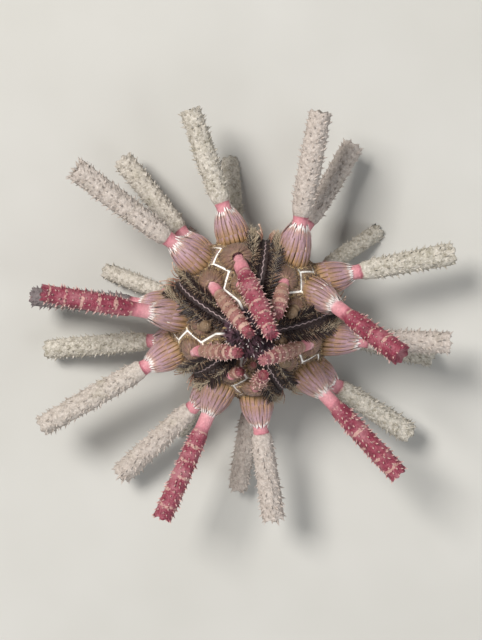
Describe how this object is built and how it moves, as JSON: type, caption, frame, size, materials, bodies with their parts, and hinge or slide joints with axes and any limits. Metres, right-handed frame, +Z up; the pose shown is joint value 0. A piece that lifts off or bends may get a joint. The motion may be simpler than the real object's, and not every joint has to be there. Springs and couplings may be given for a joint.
{
  "type": "thorny pencil sea urchin model",
  "caption": "Life-size still model of a thorny pencil sea urchin: a round plated test with thick thorny spines in skirts of flat bladed spines, resting on its lower spines.",
  "frame": {"origin": "middle of the footprint of the bounding box, on the floor that the lower spines rest on", "axes": "+Z up, the shortest way through the animal; +Y toward the top of the picture's lower picture, +X to its right"},
  "size_m": [0.1196, 0.1174, 0.0619],
  "materials": {
    "spiny_plates": "matt calcite plates and thorny spines, rose to crimson with cream thorns and mauve bladed skirts",
    "pore_bands": "matt tan granular bands with dark brown fine spines",
    "apical_plates": "matt black-purple plates",
    "mouth_skin": "leathery scaled skin, matt",
    "tooth_enamel": "smooth off-white calcite"
  },
  "bodies": {
    "root": {"interambulacrum_1": "spiny_plates", "interambulacrum_2": "spiny_plates", "interambulacrum_3": "spiny_plates", "interambulacrum_4": "spiny_plates", "interambulacrum_5": "spiny_plates", "ambulacrum_1": "pore_bands", "ambulacrum_2": "pore_bands", "ambulacrum_3": "pore_bands", "ambulacrum_4": "pore_bands", "ambulacrum_5": "pore_bands", "apical_disc": "apical_plates", "peristome": "mouth_skin", "teeth": "tooth_enamel"}
  },
  "joints": []
}
